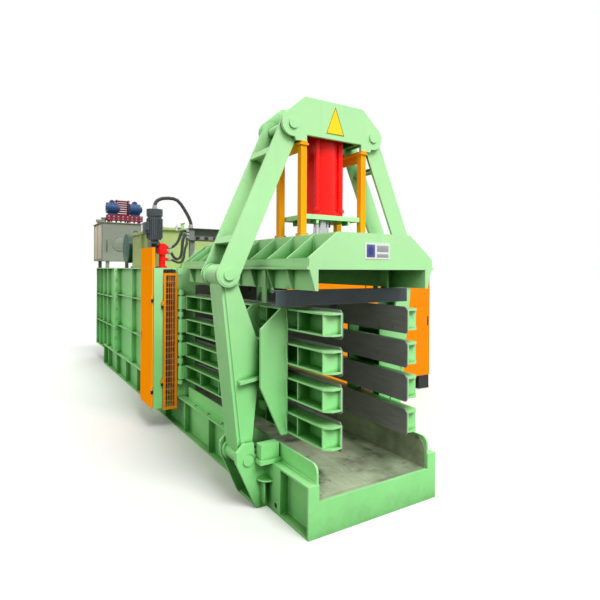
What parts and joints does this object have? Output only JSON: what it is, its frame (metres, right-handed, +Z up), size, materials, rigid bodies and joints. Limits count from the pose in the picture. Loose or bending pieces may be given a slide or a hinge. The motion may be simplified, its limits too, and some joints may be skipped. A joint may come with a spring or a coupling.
{
  "type": "recycling baler",
  "caption": "Horizontal channel baler with a three-way squeeze head at the outlet, a tying station, a main ram and a power pack on top.",
  "frame": {"origin": "the point on the floor under the axis of the press cylinder, in the middle plane of the channel", "axes": "+Z up, +Y along the channel from the outlet to the rear, +X to the right hand side seen from the outlet, where the needle housing stands"},
  "size_m": [4.584, 8.46, 3.377],
  "materials": {
    "green": "satin mint green paint with light weld lines and scuffs",
    "worn_steel": "bare wear plate, dark and scratched",
    "bright_steel": "ground and plated rod",
    "red": "glossy red paint",
    "orange": "satin orange paint",
    "black_steel": "matt black paint",
    "grey_steel": "grey paint with dust",
    "motor_grey": "dark grey casting paint",
    "lime": "matt yellow green paint",
    "pale_green": "satin pale green paint",
    "tank_grey": "matt grey paint with dust",
    "maroon": "satin dark red paint",
    "blue": "satin dark blue paint",
    "motor_green": "satin dark green paint",
    "hose_rubber": "matt black hose",
    "sign_yellow": "yellow plate with no print",
    "plate_blue": "blue plate with no print"
  },
  "bodies": {
    "machine": {"base_frame": "green", "channel_floor": "worn_steel", "pin_brackets": "green", "hinge_pins": "worn_steel", "body_front": "green", "body_rear": "green", "joint_bolts": "worn_steel", "channel_liners": "worn_steel", "ram_cylinder": "red", "tying_frame": "green", "twister_gearbox": "black_steel", "door_hinges": "black_steel", "side_cap": "orange", "twister_motor": "motor_grey", "twister_drive": "red", "house_frame": "black_steel", "house_rails": "bright_steel", "house_covers": "orange", "feed_hopper": "lime", "cross_beam": "grey_steel", "valve_pipe": "pale_green", "oil_tank": "tank_grey", "tank_lid": "tank_grey", "manifold": "maroon", "cooling_pumps": "blue", "main_motor": "motor_green", "main_pump": "grey_steel", "hoses": "hose_rubber", "oil_pipes": "grey_steel"},
    "yoke": {"yoke_frame": "green", "yoke_pins": "green", "press_barrel": "red", "guide_plate": "green", "sign_plate": "sign_yellow"},
    "press_rod": {"press_rod": "bright_steel"},
    "platen": {"platen_frame": "green", "press_beam": "grey_steel", "guide_posts": "orange", "name_plate": "plate_blue"},
    "arm_left": {"arm_left": "green"},
    "arm_right": {"arm_right": "green"},
    "link_left": {"link_left": "green"},
    "link_right": {"link_right": "green"},
    "wall_left": {"side_wall_left": "green", "finger_liners_left": "worn_steel"},
    "wall_right": {"side_wall_right": "green", "finger_liners_right": "worn_steel"},
    "ram": {"ram": "worn_steel", "ram_rod": "bright_steel"},
    "needles": {"needle_carriage": "grey_steel"},
    "mesh_guard": {"mesh_guard": "orange"},
    "side_cover": {"side_cover": "orange"},
    "house_door_a": {"house_door_a": "orange"},
    "house_door_b": {"house_door_b": "orange"},
    "hook_1": {"twister_hook_1": "bright_steel"},
    "hook_2": {"twister_hook_2": "bright_steel"},
    "hook_3": {"twister_hook_3": "bright_steel"},
    "hook_4": {"twister_hook_4": "bright_steel"},
    "hook_5": {"twister_hook_5": "bright_steel"}
  },
  "joints": [
    {"name": "yoke_lift", "type": "slide", "parent": "machine", "child": "yoke", "axis": [0, 0, 1], "range_m": [0, 0.03]},
    {"name": "rod_extend", "type": "slide", "parent": "yoke", "child": "press_rod", "axis": [0, 0, 1], "range_m": [-0.0363, 0]},
    {"name": "platen_tilt", "type": "hinge", "parent": "machine", "child": "platen", "pos_m": [0, 2.07, 1.99], "axis": [-1, 0, 0], "range_deg": [-0.172, 0]},
    {"name": "arm_swing_left", "type": "hinge", "parent": "machine", "child": "arm_left", "pos_m": [-0.816, 0, 0.404], "axis": [0, -1, 0], "range_deg": [-2.26, 0]},
    {"name": "arm_swing_right", "type": "hinge", "parent": "machine", "child": "arm_right", "pos_m": [0.816, 0, 0.404], "axis": [0, 1, 0], "range_deg": [-2.26, 0]},
    {"name": "link_swing_left", "type": "hinge", "parent": "arm_left", "child": "link_left", "pos_m": [-0.986, 0, 1.875], "axis": [0, -1, 0], "range_deg": [0, 4.87]},
    {"name": "link_swing_right", "type": "hinge", "parent": "arm_right", "child": "link_right", "pos_m": [0.986, 0, 1.875], "axis": [0, 1, 0], "range_deg": [0, 4.87]},
    {"name": "wall_open_left", "type": "hinge", "parent": "machine", "child": "wall_left", "pos_m": [-0.62, 2.05, 1], "axis": [0, 0, -1], "range_deg": [-1.08, 0]},
    {"name": "wall_open_right", "type": "hinge", "parent": "machine", "child": "wall_right", "pos_m": [0.62, 2.05, 1], "axis": [0, 0, 1], "range_deg": [-1.08, 0]},
    {"name": "ram_push", "type": "slide", "parent": "machine", "child": "ram", "axis": [0, -1, 0], "range_m": [0, 1.6]},
    {"name": "needle_feed", "type": "slide", "parent": "machine", "child": "needles", "axis": [-1, 0, 0], "range_m": [0, 1.4]},
    {"name": "mesh_guard_open", "type": "hinge", "parent": "machine", "child": "mesh_guard", "pos_m": [-0.834, 2.09, 1], "axis": [0, 0, -1], "range_deg": [0, 100]},
    {"name": "side_cover_open", "type": "hinge", "parent": "machine", "child": "side_cover", "pos_m": [-0.954, 2.112, 1], "axis": [0, 0, 1], "range_deg": [0, 110]},
    {"name": "house_door_a_open", "type": "hinge", "parent": "machine", "child": "house_door_a", "pos_m": [0.776, 1.91, 1], "axis": [0, 0, -1], "range_deg": [0, 90]},
    {"name": "house_door_b_open", "type": "hinge", "parent": "machine", "child": "house_door_b", "pos_m": [2.141, 1.91, 1], "axis": [0, 0, -1], "range_deg": [0, 90]},
    {"name": "hook_turn_1", "type": "hinge", "parent": "machine", "child": "hook_1", "pos_m": [-0.73, 2.32, 1.6525], "axis": [1, 0, 0], "continuous": true},
    {"name": "hook_turn_2", "type": "hinge", "parent": "machine", "child": "hook_2", "pos_m": [-0.73, 2.32, 1.3735], "axis": [1, 0, 0], "continuous": true},
    {"name": "hook_turn_3", "type": "hinge", "parent": "machine", "child": "hook_3", "pos_m": [-0.73, 2.32, 1.0945], "axis": [1, 0, 0], "continuous": true},
    {"name": "hook_turn_4", "type": "hinge", "parent": "machine", "child": "hook_4", "pos_m": [-0.73, 2.32, 0.8155], "axis": [1, 0, 0], "continuous": true},
    {"name": "hook_turn_5", "type": "hinge", "parent": "machine", "child": "hook_5", "pos_m": [-0.73, 2.32, 0.5365], "axis": [1, 0, 0], "continuous": true}
  ],
  "couplings": [
    {"joint": "rod_extend", "follows": "yoke_lift", "ratio": -1.207},
    {"joint": "platen_tilt", "follows": "yoke_lift", "rad_per_m": -0.1},
    {"joint": "arm_swing_left", "follows": "yoke_lift", "rad_per_m": -1.3113},
    {"joint": "arm_swing_right", "follows": "yoke_lift", "rad_per_m": -1.3113},
    {"joint": "link_swing_left", "follows": "yoke_lift", "rad_per_m": 2.8316},
    {"joint": "link_swing_right", "follows": "yoke_lift", "rad_per_m": 2.8316},
    {"joint": "wall_open_left", "follows": "yoke_lift", "rad_per_m": -0.63},
    {"joint": "wall_open_right", "follows": "yoke_lift", "rad_per_m": -0.63},
    {"joint": "hook_turn_2", "follows": "hook_turn_1", "ratio": 1},
    {"joint": "hook_turn_3", "follows": "hook_turn_1", "ratio": 1},
    {"joint": "hook_turn_4", "follows": "hook_turn_1", "ratio": 1},
    {"joint": "hook_turn_5", "follows": "hook_turn_1", "ratio": 1}
  ]
}
